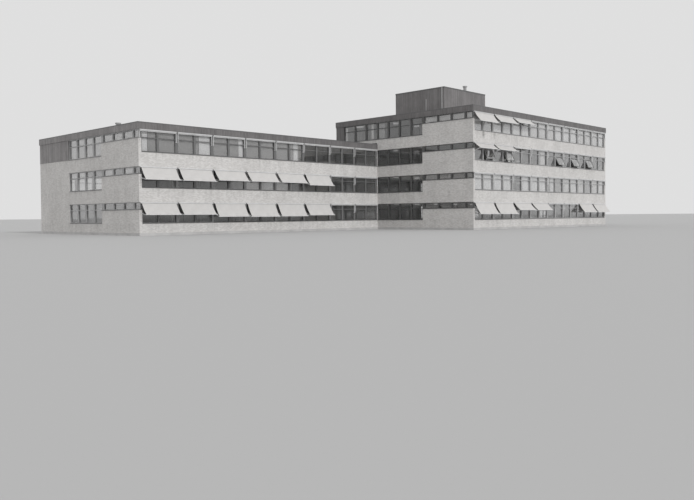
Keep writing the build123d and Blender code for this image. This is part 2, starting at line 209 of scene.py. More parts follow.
# Curtains of each row, as wing, side, storey, kind of row and stretches in windows from the row's start,
# some with the share of the height that they hang down
CURTAINS = [
    ("right_wing", "front", 3, "long", [(6, 8), (8, 9), (12, 14), (14, 15)]),
    ("right_wing", "front", 1, "long", [(10, 11), (12, 13), (14, 15)]),
    ("right_wing", "front", 2, "long", [(3.65, 4.2), (7.3, 7.85)]),
    ("right_wing", "left", 3, "high", pairs(0, 4)),
    ("right_wing", "left", 3, "tall", [(4.38, 4.62), (6.75, 7)]),
    ("right_wing", "right", 3, "tall", pairs(0, 4)),
    ("right_wing", "right", 2, "tall", pairs(0, 4)),
    ("right_wing", "right", 1, "tall", pairs(0, 4)),
    ("right_wing", "right", 3, "high", pairs(0, 4)),
    ("right_wing", "right", 2, "high", pairs(0, 4)),
    ("right_wing", "right", 1, "high", pairs(0, 4)),
    ("right_wing", "right", 0, "high", pairs(0, 4)),
    ("right_wing", "right", 0, "tall", [(0, 1), (2, 4)]),
    ("right_wing", "back", 3, "long", [*pairs(0, 8), (11.2, 12), (14, 14.6)]),
    ("right_wing", "back", 2, "long", [*pairs(2, 8), (8, 9), (13, 14)]),
    ("right_wing", "back", 1, "long", [*pairs(2, 8), (10.4, 11), (15, 16)]),
    ("right_wing", "back", 0, "long", [*pairs(2, 8), *pairs(9, 15)]),
    ("left_wing", "front", 1, "long", [(6, 7.28), (8, 9.2)]),
    ("left_wing", "left", 1, "high", [(1.2, 2), (3.2, 4)]),
    ("left_wing", "left", 1, "tall", [(2, 3, 0.38), (3, 4, 0.38)]),
    ("left_wing", "right", 2, "tall", pairs(0, 4)),
    ("left_wing", "right", 1, "tall", pairs(0, 4)),
    ("left_wing", "right", 0, "tall", pairs(0, 4)),
    ("left_wing", "back", 2, "long", [(1, 2), (5, 6.4), (9, 10), *pairs(11, 15)]),
    ("left_wing", "back", 1, "long", [*pairs(5, 15), (15, 16)]),
    ("left_wing", "back", 0, "long", [*pairs(1, 15), (15, 16)]),
]

# Greyer curtains, whiter ones, and grey nets between them, measured the same way
GREY_CURTAINS = [
    ("left_wing", "left", 2, "tall", pairs(0, 4)),
    ("left_wing", "left", 2, "high", pairs(0, 4)),
]
WHITE_CURTAINS = [
    ("right_wing", "front", 3, "long", [*pairs(0, 6), (9, 10), (10, 12), (15, 16)]),
    ("right_wing", "front", 1, "long", [*pairs(0, 4), (5, 6), (6, 8), (8.5, 9), (11, 12), (15, 16)]),
    ("left_wing", "front", 2, "long", [(0, 0.44), (3.28, 3.97), (5.65, 6), (9.34, 9.68)]),
    ("left_wing", "front", 1, "long", [(7.28, 8)]),
]
NETS = [
    ("right_wing", "front", 1, "long", [(8, 8.5), (9, 10), (13, 14)]),
    ("left_wing", "front", 2, "long", [(0.44, 2), (2, 3.28), (3.97, 5.65), (6, 8), (8, 9.34), (9.68, 10)]),
    ("left_wing", "front", 1, "long", [(5.2, 6)]),
    ("right_wing", "left", 3, "tall", [(3.37, 4)]),
    ("right_wing", "left", 1, "high", pairs(0, 4)),
]


class Wing:
    """One block of the school, measured on its roof slab."""

    def __init__(self, name, storeys):
        low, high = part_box(name + "_roof")
        self.name = name
        self.storeys = storeys
        self.top = storeys - 1
        self.left, self.front, self.soffit = low
        self.right, self.back, self.roof = high
        self.third = (self.back - self.front) / 3
        self.fascia_low, self.fascia_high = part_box(name + "_fascia")

    def foot(self, n):
        """Sill of storey n's windows, with 0 for the ground floor."""
        return PLINTH + n * STOREY + SILL

    def transom(self, n):
        """Foot of the transoms, and of the end walls' high windows."""
        return self.foot(n) + WINDOW_HEIGHT - HIGH_WINDOW_HEIGHT

    def ceiling(self, n):
        return self.soffit if n == self.top else PLINTH + (n + 1) * STOREY - FLOOR

    def head(self, n):
        return self.soffit if n == self.top else self.foot(n) + WINDOW_HEIGHT


LEFT = Wing("left_wing", 3)
RIGHT = Wing("right_wing", 4)
WINGS = (LEFT, RIGHT)


class Face:
    """An outer wall face. Its own axes are the width, the height and the depth inwards."""

    def __init__(self, origin, along, inward):
        axes = Matrix((along, Z_AXIS, inward)).transposed().to_4x4()
        self.matrix = Matrix.Translation(origin) @ axes


def wall_face(wing, side):
    """The face of a wing's wall. Its width is measured in the building's own X or Y."""
    return {
        "front": Face((0, wing.front, 0), X_AXIS, Y_AXIS),
        "back": Face((0, wing.back, 0), X_AXIS, -Y_AXIS),
        "left": Face((wing.left, 0, 0), Y_AXIS, X_AXIS),
        "right": Face((wing.right, 0, 0), Y_AXIS, -X_AXIS),
    }[side]


class Row:
    """A row of windows: its face, its post lines with what each post takes up, its foot and head."""

    def __init__(self, face, storey, kind, lines, widths, foot, head):
        self.face, self.storey, self.kind = face, storey, kind
        self.lines = lines
        self.foot, self.head = foot, head
        self.lights = [
            (a + before, b - after) for a, b, before, after in zip(lines, lines[1:], widths, widths[1:])
        ]

    def place(self, windows):
        """Distance along the wall of a number of windows from the row's start."""
        k = min(int(windows), len(self.lines) - 2)
        return self.lines[k] + (windows - k) * (self.lines[k + 1] - self.lines[k])


def has_corner_window(wing, side):
    """The high windows turn each front corner, but for the left wing's that the other one covers."""
    return wing is RIGHT or side == "left"


def long_rows(wing, side):
    """The strips of a long wall, and at the front the narrow lights past the end walls' piers."""
    count = BAYS * WINDOWS_PER_BAY
    pitch = (wing.right - wing.left) / count
    lines = [wing.left + k * pitch for k in range(count + 1)]
    widths = [(BAY_POST if k % WINDOWS_PER_BAY == 0 else POST) / 2 for k in range(count + 1)]
    lines[0] += WALL
    lines[-1] -= WALL
    widths[0] = widths[-1] = RAIL
    if side == "front" and not has_corner_window(wing, "right"):
        lines[-1] = wing.right
        widths[-1] = WALL
    face = wall_face(wing, side)
    rows = []
    for n in range(wing.storeys):
        rows.append(Row(face, n, "long", lines, widths, wing.foot(n), wing.head(n)))
        for end in END_SIDES:
            if side == "front" and has_corner_window(wing, end):
                corner = [wing.left, lines[0]] if end == "left" else [lines[-1], wing.right]
                rows.append(Row(face, n, "corner", corner, [0, 0], wing.transom(n), wing.head(n)))
    return rows


def end_rows(wing, side):
    """High windows to the front rooms, tall ones to the hall, and more where the other wing is lower."""
    room_window = (wing.third - CORNER_WINDOW - HALL_POST) / ROOM_WINDOWS
    hall, rear = wing.front + wing.third, wing.back - wing.third
    face = wall_face(wing, side)
    rows = []
    for n in range(wing.storeys):
        if has_corner_window(wing, side):
            high = [wing.front]
            high += [wing.front + CORNER_WINDOW + k * room_window for k in range(ROOM_WINDOWS)]
            high.append(hall)
            widths = [FRAME_RECESS + FRAME_DEPTH] + [POST / 2] * ROOM_WINDOWS + [HALL_POST]
            rows.append(Row(face, n, "high", high, widths, wing.transom(n), wing.head(n)))
        tall = [hall + k * (rear - hall) / HALL_WINDOWS for k in range(HALL_WINDOWS + 1)]
        if wing is RIGHT and side == "left" and n == wing.top:
            tall += [rear + (k + 1) * room_window for k in range(ROOM_WINDOWS)]
        widths = [RAIL] + [POST / 2] * (len(tall) - 2) + [RAIL]
        rows.append(Row(face, n, "tall", tall, widths, wing.foot(n), wing.head(n)))
    return rows


def rows_of(wing, side):
    return long_rows(wing, side) if side in LONG_SIDES else end_rows(wing, side)


# Pieces


def make_piece(name, bm, slot, *materials):
    """Turns a finished bmesh into an object of the building."""
    mesh = bpy.data.meshes.new(name)
    bm.to_mesh(mesh)
    bm.free()
    for material in materials:
        mesh.materials.append(material)
    piece = bpy.data.objects.new(name, mesh)
    bpy.context.scene.collection.objects.link(piece)
    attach(piece, "root")
    return piece


def thicken(piece, thickness):
    """Gives a sheet its thickness, half to each side."""
    solid = piece.modifiers.new("thickness", "SOLIDIFY")
    solid.thickness = thickness
    solid.offset = 0


def flat_sheet(columns, rows, width, length):
    """A square grid a metre wide about the origin, with the sheet's flat size in its UV map."""
    bm = bmesh.new()
    bmesh.ops.create_grid(bm, x_segments=columns, y_segments=rows, size=0.5)
    uv = bm.loops.layers.uv.new("flat")
    for face in bm.faces:
        for loop in face.loops:
            loop[uv].uv = ((loop.vert.co.x + 0.5) * width, (loop.vert.co.y + 0.5) * length)
    return bm


def add_box(bm, face, low, high):
    """Adds a box by two corners in a face's own axes."""
    low, high = Vector(low), Vector(high)
    place = Matrix.Translation((low + high) / 2) @ Matrix.Diagonal((*(high - low), 1))
    return bmesh.ops.create_cube(bm, size=1, matrix=face.matrix @ place)["verts"]


def add_panel(bm, face, start, end, foot, head, setback):
    """Adds one upright rectangle and gives back its face."""
    place = Matrix.Translation(((start + end) / 2, (foot + head) / 2, setback))
    size = Matrix.Diagonal((end - start, head - foot, 1, 1))
    made = bmesh.ops.create_grid(bm, x_segments=1, y_segments=1, size=0.5, matrix=face.matrix @ place @ size)
    return made["verts"][0].link_faces[0]


def add_frame(bm, face, start, end, foot, head, setback):
    """Adds one sash frame: a panel inset to a ring, then given its thickness."""
    panel = add_panel(bm, face, start, end, foot, head, setback)
    ring = bmesh.ops.inset_region(bm, faces=[panel], thickness=SASH_FACE)["faces"]
    bmesh.ops.delete(bm, geom=[panel], context="FACES_ONLY")
    grown = bmesh.ops.extrude_face_region(bm, geom=ring, use_keep_orig=True)["geom"]
    inward = face.matrix.to_3x3() @ Vector((0, 0, SASH_THICKNESS))
    bmesh.ops.translate(bm, vec=inward, verts=[v for v in grown if isinstance(v, bmesh.types.BMVert)])


def add_sashes(bm, wing, row, skipped):
    """A sash in each light, and over the tall ones a transom and a fixed light.

    Where a window is skipped, because it stands open, only its fixed light is added.
    """
    setback = FRAME_RECESS + SASH_SETBACK
    foot, head = row.foot + RAIL, row.head - RAIL
    transom = wing.transom(row.storey)
    for k, (start, end) in enumerate(row.lights):
        if row.kind == "high":
            add_frame(bm, row.face, start, end, foot, head, setback)
            continue
        add_frame(bm, row.face, start, end, transom + RAIL, head, setback)
        if k not in skipped:
            add_frame(bm, row.face, start, end, foot, transom, setback)
            rail = (start, transom, FRAME_RECESS), (end, transom + RAIL, FRAME_RECESS + FRAME_DEPTH)
            add_box(bm, row.face, *rail)


def add_sill(bm, row):
    """A folded sheet: a slope out from the frame, and a lip down past the brick."""
    points = [(FRAME_RECESS, SILL_RISE), (-SILL_OVERHANG, 0), (-SILL_OVERHANG, -SILL_LIP)]
    start, end = row.lines[0], row.lines[-1]
    fold = [bm.verts.new(row.face.matrix @ Vector((start, row.foot + v, w))) for w, v in points]
    edges = [bm.edges.new(pair) for pair in zip(fold, fold[1:])]
    grown = bmesh.ops.extrude_edge_only(bm, edges=edges)["geom"]
    run = row.face.matrix.to_3x3() @ Vector((end - start, 0, 0))
    bmesh.ops.translate(bm, vec=run, verts=[v for v in grown if isinstance(v, bmesh.types.BMVert)])


def add_rod(bm, face, place, axis, radius, length, top_radius=None, facets=ROD_FACETS):
    """A round rod about its middle in a face's own axes, along one of them."""
    turn = {
        "width": Matrix.Rotation(pi / 2, 4, "Y"),
        "height": Matrix.Rotation(-pi / 2, 4, "X"),
        "depth": Matrix.Identity(4),
    }[axis]
    bmesh.ops.create_cone(
        bm,
        cap_ends=True,
        segments=facets,
        radius1=radius,
        radius2=radius if top_radius is None else top_radius,
        depth=length,
        matrix=face.matrix @ Matrix.Translation(place) @ turn,
    )


def add_boards(bm, face, start, end, foot, head):
    """Upright boards, raised from a sheet cut into one strip for each."""
    count = max(1, round((end - start) / BOARD))
    place = Matrix.Translation(((start + end) / 2, (foot + head) / 2, -BOARD_STANDOFF))
    size = Matrix.Diagonal((end - start, head - foot, 1, 1))
    matrix = face.matrix @ place @ size
    made = bmesh.ops.create_grid(bm, x_segments=count, y_segments=1, size=0.5, matrix=matrix)
    strips = list(dict.fromkeys(f for v in made["verts"] for f in v.link_faces))
    outward = face.matrix.to_3x3() @ Vector((0, 0, -1))
    if strips[0].normal.dot(outward) < 0:
        bmesh.ops.reverse_faces(bm, faces=strips)
    bmesh.ops.inset_individual(bm, faces=strips, thickness=BOARD_GAP, depth=BOARD_RELIEF)


def islands(node):
    """The corners of each separate solid of a CAD node, from the left."""
    same_corner = 1e-5
    bm = bmesh.new()
    bm.from_mesh(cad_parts[node].data)
    bmesh.ops.remove_doubles(bm, verts=bm.verts, dist=same_corner)
    left, found = set(bm.verts), []
    while left:
        group, rim = set(), {left.pop()}
        while rim:
            vert = rim.pop()
            group.add(vert)
            rim |= {e.other_vert(vert) for e in vert.link_edges} - group
        left -= group
        found.append(sorted((v.co.copy() for v in group), key=tuple))
    bm.free()
    return sorted(found, key=lambda points: tuple(points[0]))


def ends(points):
    """The left and right ends of some points, each with the way outwards."""
    return (min(p.x for p in points), -1), (max(p.x for p in points), 1)


# Finishes


class Finish:
    """A material under construction: one Principled shader and the nodes that feed it."""

    def __init__(self, name, **settings):
        self.material = bpy.data.materials.new(name)
        self.material.use_nodes = True
        self.tree = self.material.node_tree
        self.shader = self.tree.nodes["Principled BSDF"]
        # A setting is named as the shader's socket, so roughness=0.6 is its Roughness
        for key, value in settings.items():
            self.shader.inputs[key.replace("_", " ").title().replace("Ior", "IOR")].default_value = value
        self.place = self.node("TexCoord").outputs["Object"]

    def node(self, kind, inputs=(), **settings):
        made = self.tree.nodes.new("ShaderNode" + kind)
        for key, value in settings.items():
            setattr(made, key, value)
        for key, value in dict(inputs).items():
            self.feed(made.inputs[key], value)
        return made

    def feed(self, socket, value):
        if isinstance(value, bpy.types.NodeSocket):
            self.tree.links.new(value, socket)
        else:
            socket.default_value = value

    def math(self, kind, a, b=0.0, c=0.0):
        return self.node("Math", {0: a, 1: b, 2: c}, operation=kind).outputs[0]

    def noise(self, scale, detail=4.0, roughness=0.55, stretch=(1, 1, 1)):
        place = self.node("Mapping", {"Vector": self.place, "Scale": stretch}).outputs[0]
        inputs = {"Vector": place, "Scale": scale, "Detail": detail, "Roughness": roughness}
        return self.node("TexNoise", inputs).outputs["Fac"]

    def spread(self, value, low, high, to_low=0.0, to_high=1.0):
        """Spreads a value from one range to another."""
        inputs = {"Value": value, "From Min": low, "From Max": high, "To Min": to_low, "To Max": to_high}
        return self.node("MapRange", inputs).outputs[0]

    def mix(self, share, a, b, blend="MIX"):
        """Mixes two colours, by the mix node's own colour sockets."""
        made = self.node("Mix", data_type="RGBA", blend_type=blend)
        for socket, value in ((made.inputs[0], share), (made.inputs[6], a), (made.inputs[7], b)):
            self.feed(socket, value)
        return made.outputs[2]

    def as_grey(self, shade):
        return self.node("CombineColor", {0: shade, 1: shade, 2: shade}).outputs[0]

    def shaded(self, colour, shade):
        """A colour made darker or lighter by a factor."""
        return self.mix(1.0, colour, self.as_grey(shade), "MULTIPLY")

    def colour(self, value):
        self.feed(self.shader.inputs["Base Color"], value)

    def roughness(self, value):
        self.feed(self.shader.inputs["Roughness"], value)

    def bump(self, height, distance, strength=1.0):
        inputs = {"Height": height, "Distance": distance, "Strength": strength}
        self.feed(self.shader.inputs["Normal"], self.node("Bump", inputs).outputs[0])

    def parts(self):
        return self.node("SeparateXYZ", {0: self.place}).outputs

    def normal(self):
        return self.node("NewGeometry").outputs["Normal"]

    def underside(self):
        """1 on surfaces that face down, 0 on all others."""
        up = self.node("SeparateXYZ", {0: self.normal()}).outputs[2]
        return self.math("LESS_THAN", up, -0.5)

    def wall_width(self):
        """Distance along the wall, in X or in Y as the surface faces."""
        across = self.node("SeparateXYZ", {0: self.normal()}).outputs[0]
        on_end = self.math("GREATER_THAN", self.math("ABSOLUTE", across), 0.5)
        x, y, _ = self.parts()
        return self.node("Mix", {0: on_end, 2: x, 3: y}, data_type="FLOAT").outputs[0]


def grey(value, warmth=0.0):
    """A neutral colour, warmed by a small share."""
    return (value * (1 + warmth), value, value * (1 - warmth), 1)


def dirt_run(finish, along, strength):
    """The share of light left by one dirt run, down from the sill of the right wing's top windows."""
    x, y, z = finish.parts()
    sill = RIGHT.foot(RIGHT.top)
    distance = finish.math("ABSOLUTE", finish.math("SUBTRACT", x, along))
    beside = finish.spread(distance, 0, DIRT_WIDTH, strength, 0)
    down = finish.spread(z, sill - DIRT_LENGTH, sill - DIRT_LENGTH / 2)
    on_front = finish.math("LESS_THAN", y, RIGHT.front + WALL)
    run = finish.math("MULTIPLY", finish.math("MULTIPLY", beside, down), on_front)
    return finish.math("SUBTRACT", 1.0, run)


def brick_finish():
    """Pale stretcher bond with flush joints, each brick of its own tone."""
    course, stretcher, joint = 0.0375, 0.1125, 0.0022
    stained_height = 0.55
    finish = Finish("pale_brick", specular_ior_level=0.3)
    height = finish.math("SUBTRACT", finish.parts()[2], PLINTH)
    place = finish.node("CombineXYZ", {0: finish.wall_width(), 1: height}).outputs[0]
    bricks = finish.node(
        "TexBrick",
        {
            "Vector": place,
            "Color1": grey(0.72, 0.02),
            "Color2": grey(0.57, 0.03),
            "Mortar": grey(0.60, 0.01),
            "Scale": 1.0,
            "Mortar Size": joint,
            "Mortar Smooth": 0.2,
            "Brick Width": stretcher,
            "Row Height": course,
        },
    )
    clouds = finish.noise(scale=1.1, detail=6, roughness=0.6, stretch=(1, 1, 0.45))
    stains = finish.spread(clouds, 0.35, 0.7, 1.03, 0.9)
    grain = finish.spread(finish.noise(scale=160, detail=3), 0.3, 0.7, 0.94, 1.05)
    # Dirt runs down from the sills, darkest just under them
    under_sill = finish.math("MODULO", finish.math("SUBTRACT", height, SILL - STOREY), STOREY)
    fade = finish.spread(under_sill, STOREY - stained_height, STOREY)
    streaks = finish.noise(scale=7, detail=3, roughness=0.6, stretch=(1, 1, 0.05))
    runs = finish.spread(streaks, 0.5, 0.68, 0.0, 0.16)
    washed = finish.math("SUBTRACT", 1.0, finish.math("MULTIPLY", fade, runs))
    for along, strength in DIRT_RUNS:
        washed = finish.math("MULTIPLY", washed, dirt_run(finish, along, strength))
    shade = finish.math("MULTIPLY", washed, finish.math("MULTIPLY", stains, grain))
    finish.colour(finish.shaded(bricks.outputs["Color"], shade))
    finish.roughness(finish.spread(grain, 0.94, 1.05, 0.78, 0.95))
    relief = finish.math("SUBTRACT", finish.math("MULTIPLY", grain, 0.4), bricks.outputs["Fac"])
    finish.bump(relief, 0.0015)
    return finish.material


def speckled(name, base, warmth, coarse, fine, roughness, depth, **settings):
    """A surface with broad patches and a fine grain, in colour, shine and relief.

    The patches have the coarse scale and the grain the fine one, and depth is that of the relief.
    """
    finish = Finish(name, **settings)
    patches = finish.spread(finish.noise(coarse, detail=5), 0.3, 0.7, 0.88, 1.08)
    grain = finish.spread(finish.noise(fine, detail=3), 0.3, 0.7, 0.95, 1.05)
    finish.colour(finish.shaded(grey(base, warmth), finish.math("MULTIPLY", patches, grain)))
    finish.roughness(finish.spread(patches, 0.88, 1.08, roughness + 0.08, roughness - 0.08))
    finish.bump(grain, depth)
    return finish.material


def concrete_finish():
    return speckled(
        "concrete",
        base=0.52,
        warmth=0.01,
        coarse=2.0,
        fine=90,
        roughness=0.8,
        depth=0.002,
        specular_ior_level=0.3,
    )


def chippings_finish():
    """Felt under loose stone chippings, with damp patches, and a white ceiling under the roof."""
    finish = Finish("roof_chippings", specular_ior_level=0.25)
    stones = finish.node("TexVoronoi", {"Vector": finish.place, "Scale": 75.0})
    damp = finish.spread(finish.noise(scale=0.8, detail=5), 0.35, 0.65, 0.75, 1.1)
    own = finish.spread(stones.outputs["Color"], 0, 1, 0.2, 0.42)
    stony = finish.as_grey(finish.math("MULTIPLY", own, damp))
    below = finish.underside()
    plaster = finish.spread(damp, 0.75, 1.1, CEILING_TONE * CEILING_STAINS, CEILING_TONE)
    finish.colour(finish.mix(below, stony, plaster))
    finish.roughness(finish.spread(damp, 0.75, 1.1, 0.7, 0.95))
    relief = finish.math("MULTIPLY", stones.outputs["Distance"], finish.math("SUBTRACT", 1.0, below))
    finish.bump(relief, 0.004, 0.8)
    return finish.material


def floor_finish():
    """Worn sheet flooring on top and a white ceiling below."""
    finish = Finish("floor_and_ceiling", specular_ior_level=0.35)
    wear = finish.noise(scale=1.6, detail=6)
    flooring = finish.spread(wear, 0.3, 0.7, 0.22, 0.3)
    plaster = finish.spread(wear, 0.3, 0.7, CEILING_TONE * CEILING_STAINS, CEILING_TONE)
    below = finish.underside()
    finish.colour(finish.mix(below, flooring, plaster))
    finish.roughness(finish.spread(wear, 0.3, 0.7, 0.5, 0.7))
    finish.bump(finish.noise(scale=220, detail=3), 0.0004)
    return finish.material


def felt_finish():
    return speckled(
        "roofing_felt",
        base=0.11,
        warmth=0.0,
        coarse=3.0,
        fine=240,
        roughness=0.75,
        depth=0.001,
        specular_ior_level=0.35,
    )


def boards_finish(name, dark, light):
    """Stained boards, each of its own tone, with a grain up the board, and painted light that lightens the
    left wing's left-facing boards.
    """
    finish = Finish(name, specular_ior_level=0.35)
    number = finish.math("FLOOR", finish.math("DIVIDE", finish.wall_width(), BOARD))
    own = finish.node("TexWhiteNoise", {"W": number}, noise_dimensions="1D").outputs["Value"]
    grain = finish.noise(scale=60, detail=5, roughness=0.65, stretch=(1, 1, 0.06))
    weather = finish.noise(scale=1.5)
    tone = finish.spread(own, 0, 1, dark, light)
    # Painted light: the left wing's boards that face left are made lighter, for brighter light on that end
    to_left = finish.math("LESS_THAN", finish.node("SeparateXYZ", {0: finish.normal()}).outputs[0], -0.5)
    on_left_wing = finish.math("LESS_THAN", finish.parts()[0], (LEFT.left + LEFT.right) / 2)
    painted_light_on_left_end = finish.math("MULTIPLY", to_left, on_left_wing)
    tone = finish.math("MULTIPLY", tone, finish.spread(painted_light_on_left_end, 0, 1, 1.0, LEFT_END_PAINTED_LIGHT))
    shade = finish.math("MULTIPLY", tone, finish.spread(grain, 0.3, 0.7, 0.8, 1.2))
    shade = finish.math("MULTIPLY", shade, finish.spread(weather, 0.3, 0.7, 0.9, 1.15))
    warm = finish.math("MULTIPLY", shade, 1.04)
    finish.colour(finish.node("CombineColor", {0: warm, 1: shade, 2: shade}).outputs[0])
    finish.roughness(finish.spread(grain, 0.3, 0.7, 0.75, 0.55))
    finish.bump(grain, 0.001)
    return finish.material


def painted_metal_finish(name, base, roughness=0.42):
    return speckled(
        name,
        base,
        warmth=0.0,
        coarse=4.0,
        fine=300,
        roughness=roughness,
        depth=0.0003,
        specular_ior_level=0.5,
    )


def lamp_finish():
    """A pale cover that glows a little."""
    return speckled(
        "lamp_cover",
        base=0.8,
        warmth=0.02,
        coarse=6.0,
        fine=400,
        roughness=0.35,
        depth=0.0002,
        emission_strength=0.2,
    )


def glass_finish():
    """Panes that mirror the sky more the flatter they are seen, with a thin film of dust."""
    finish = Finish("window_panes", roughness=0.6, specular_ior_level=0.2)
    finish.colour(grey(0.55))
    dust = finish.noise(scale=1.3, detail=6, roughness=0.65, stretch=(1, 1, 0.5))
    waves = {"Height": finish.noise(scale=1.6, detail=1), "Distance": 0.004, "Strength": 0.25}
    bent = finish.node("Bump", waves).outputs[0]
    dull = finish.spread(dust, 0.35, 0.75, 0.01, 0.08)
    mirror = finish.node("BsdfAnisotropic", {"Color": grey(0.92), "Normal": bent, "Roughness": dull})
    clear = finish.node("BsdfTransparent", {"Color": grey(0.9)})
    slant = finish.node("LayerWeight", {"Blend": 0.5}).outputs["Facing"]
    share = finish.math("MULTIPLY_ADD", finish.math("POWER", slant, 2.0), PANE_MIRROR_RISE, PANE_MIRROR)
    pane = finish.node("MixShader", {0: share, 1: clear.outputs[0], 2: mirror.outputs[0]})
    film = finish.spread(dust, 0.35, 0.75, 0.01, 0.06)
    surface = finish.node("MixShader", {0: film, 1: pane.outputs[0], 2: finish.shader.outputs[0]})
    finish.tree.links.new(surface.outputs[0], finish.tree.nodes["Material Output"].inputs["Surface"])
    return finish.material


def cloth_finish(name, base, warmth, seam):
    """A plain weave on the sheet's own width and length, with a seam line across at each seam's length."""
    finish = Finish(name, specular_ior_level=0.2, sheen_weight=0.15)
    finish.place = finish.node("TexCoord").outputs["UV"]
    across, along, _ = finish.parts()
    warp = finish.math("SINE", finish.math("MULTIPLY", across, 2 * pi / WEAVE))
    weft = finish.math("SINE", finish.math("MULTIPLY", along, 2 * pi / WEAVE))
    weave = finish.math("MULTIPLY", warp, weft)
    near_seam = finish.math("PINGPONG", along, seam / 2)
    line = finish.spread(near_seam, 0.0, SEAM_LINE, 0.86, 1.0)
    patches = finish.spread(finish.noise(scale=2.5, detail=5), 0.3, 0.7, 0.93, 1.03)
    finish.colour(finish.shaded(grey(base, warmth), finish.math("MULTIPLY", line, patches)))
    finish.roughness(finish.spread(patches, 0.93, 1.03, 0.95, 0.85))
    finish.bump(weave, 0.0004)
    return finish.material


BRICK = brick_finish()
CONCRETE = concrete_finish()
CHIPPINGS = chippings_finish()
FLOORING = floor_finish()
FELT = felt_finish()
BOARDS = boards_finish("stained_boards", dark=0.14, light=0.185)
PLANT_BOARDS = boards_finish("plant_room_boards", dark=0.175, light=0.235)
DARK_METAL = painted_metal_finish("dark_frame_paint", 0.10)
GREY_METAL = painted_metal_finish("grey_frame_paint", 0.16)
# Painted light: a lighter copy of the grey frame paint, for the left wing's end frames and sashes and the
# right wing's front ones
PAINTED_LIGHT_FRAME_PAINT = painted_metal_finish("faded_frame_paint", 0.38)
LIGHT_METAL = painted_metal_finish("pale_awning_metal", 0.60, roughness=0.35)
WHITE_METAL = painted_metal_finish("white_arm_paint", 0.85, roughness=0.35)
TRIM = painted_metal_finish("edge_trim", 0.13)
PIPE = painted_metal_finish("pale_pipe", 0.42, roughness=0.5)
LAMP = lamp_finish()
PANES = glass_finish()
AWNING_CLOTH = cloth_finish("awning_canvas", base=0.60, warmth=0.02, seam=0.34)
CURTAIN_CLOTH = cloth_finish("pale_curtain", base=0.80, warmth=0.01, seam=2.0)
GREY_CLOTH = cloth_finish("grey_curtain", base=0.62, warmth=0.01, seam=2.0)
WHITE_CLOTH = cloth_finish("white_curtain", base=0.93, warmth=0.0, seam=2.0)
NET_CLOTH = cloth_finish("grey_net", base=0.41, warmth=0.01, seam=2.0)

NODE_FINISHES = {
    "_brickwork": BRICK,
    "_end_wall": BRICK,
    "right_wing_end_window_frames": DARK_METAL,
    # These two get the lighter copy of the frame paint, as painted light
    "left_wing_end_window_frames": PAINTED_LIGHT_FRAME_PAINT,
    "right_wing_front_window_frames": PAINTED_LIGHT_FRAME_PAINT,
    "_window_frames": GREY_METAL,
    "open_windows": GREY_METAL,
    "entrance_door": DARK_METAL,
    "_glass": PANES,
    "_fascia": BOARDS,
    "cladding": BOARDS,
    "room_walls": PLANT_BOARDS,
    "room_roof": FELT,
    "_roof": CHIPPINGS,
    "_floor": FLOORING,
    "_cassettes": LIGHT_METAL,
    "_arms": WHITE_METAL,
    "_cloths": AWNING_CLOTH,
    "_pipes": PIPE,
    "_vents": PIPE,
}


def node_finish(name):
    """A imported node's finish, by the first end of its name in the table."""
    return next((finish for end, finish in NODE_FINISHES.items() if name.endswith(end)), CONCRETE)


def dress_nodes():
    """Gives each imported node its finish."""
    for name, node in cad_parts.items():
        node.data.materials.clear()
        node.data.materials.append(node_finish(name))


# Windows


def sashes_and_sills():
    for wing in WINGS:
        for side in SIDES:
            windows_of(wing, side)


def windows_of(wing, side):
    sashes, sills = bmesh.new(), bmesh.new()
    for row in rows_of(wing, side):
        add_sill(sills, row)
        if row.kind != "corner":
            opened = [k for n, k in OPEN_WINDOWS if n == row.storey and wing is RIGHT and side == "front"]
            add_sashes(sashes, wing, row, opened)
    bmesh.ops.recalc_face_normals(sashes, faces=sashes.faces)
    place = side if side in LONG_SIDES else "end"
    paint = node_finish(f"{wing.name}_{place}_window_frames")
    make_piece(f"{wing.name}_{side}_sashes", sashes, "window_frame", paint)
    sheet = make_piece(f"{wing.name}_{side}_sills", sills, "window_frame", TRIM)
    thicken(sheet, SILL_METAL)


def door_handles():
    """A pull bar on each leaf beside the middle, held by two short pegs."""
    low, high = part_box("entrance_door")
    face = Face((high.x, 0, 0), Y_AXIS, -X_AXIS)
    bm = bmesh.new()
    for side in (-1, 1):
        across = (low.y + high.y) / 2 + side * HANDLE_FROM_EDGE
        place = Vector((across, PLINTH + HANDLE_HEIGHT, -HANDLE_STANDOFF))
        add_rod(bm, face, place, "height", HANDLE / 2, HANDLE_LENGTH)
        for end in (-1, 1):
            peg = place + Vector((0, end * PEG_FROM_MIDDLE, HANDLE_STANDOFF / 2))
            add_rod(bm, face, peg, "depth", PEG, HANDLE_STANDOFF)
    make_piece("door_handles", bm, "window_frame", LIGHT_METAL)


# Curtains and lamps behind the windows


